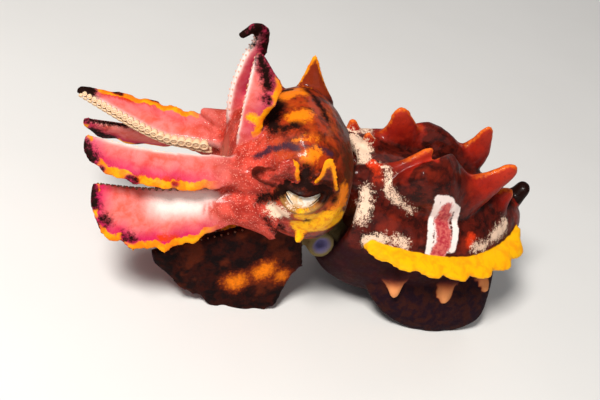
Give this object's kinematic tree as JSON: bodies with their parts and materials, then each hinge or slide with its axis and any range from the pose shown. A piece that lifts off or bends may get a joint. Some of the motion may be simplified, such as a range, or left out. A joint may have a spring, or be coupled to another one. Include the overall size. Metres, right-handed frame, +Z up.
{
  "type": "cuttlefish model",
  "caption": "Life-size model of a flamboyant cuttlefish walking on its lowest arms and belly flaps, with raised arms, papillae on its back and undulating fins.",
  "frame": {"origin": "middle of the bounding box at floor level, under the head and the front of the mantle", "axes": "+X towards the rear tip of the mantle, so the head and arms point to -X, +Y towards the animal's right side, +Z up"},
  "size_m": [0.1048, 0.0426, 0.0615],
  "materials": {
    "mantle_skin": "soft skin, dark maroon with cream mottles and red-tipped papillae, semi-gloss",
    "head_skin": "soft skin, rust red with orange and violet-brown bands, semi-gloss",
    "arm_skin": "soft skin, magenta-pink with yellow keels and pale suckers, semi-gloss",
    "fourth_arm_skin": "soft skin, dark maroon with orange blotches, semi-gloss",
    "fin_skin": "thin soft fin, saturated yellow-orange, semi-gloss",
    "flap_skin": "soft skin, dark maroon with a pale lower edge, semi-gloss",
    "mouth_skin": "soft skin, pale pink, semi-gloss",
    "funnel_skin": "soft skin, olive-grey with a blue-violet mouth, semi-gloss",
    "eye": "cream eyeball with a dark W-shaped pupil, glossy"
  },
  "bodies": {
    "root": {"arm_1_left_root": "arm_skin", "arm_1_left_tip": "arm_skin", "arm_1_right_root": "arm_skin", "arm_1_right_tip": "arm_skin", "arm_2_left_root": "arm_skin", "arm_2_left_tip": "arm_skin", "arm_2_right_root": "arm_skin", "arm_2_right_tip": "arm_skin", "arm_3_left_root": "arm_skin", "arm_3_left_tip": "arm_skin", "arm_3_right_root": "arm_skin", "arm_3_right_tip": "arm_skin", "arm_4_left_root": "fourth_arm_skin", "arm_4_left_tip": "fourth_arm_skin", "arm_4_right_root": "fourth_arm_skin", "arm_4_right_tip": "fourth_arm_skin", "eye_left": "eye", "eye_right": "eye", "fin_left": "fin_skin", "fin_right": "fin_skin", "funnel": "funnel_skin", "head": "head_skin", "mantle": "mantle_skin", "mouth": "mouth_skin", "walking_flap_left": "flap_skin", "walking_flap_right": "flap_skin"}
  },
  "joints": []
}
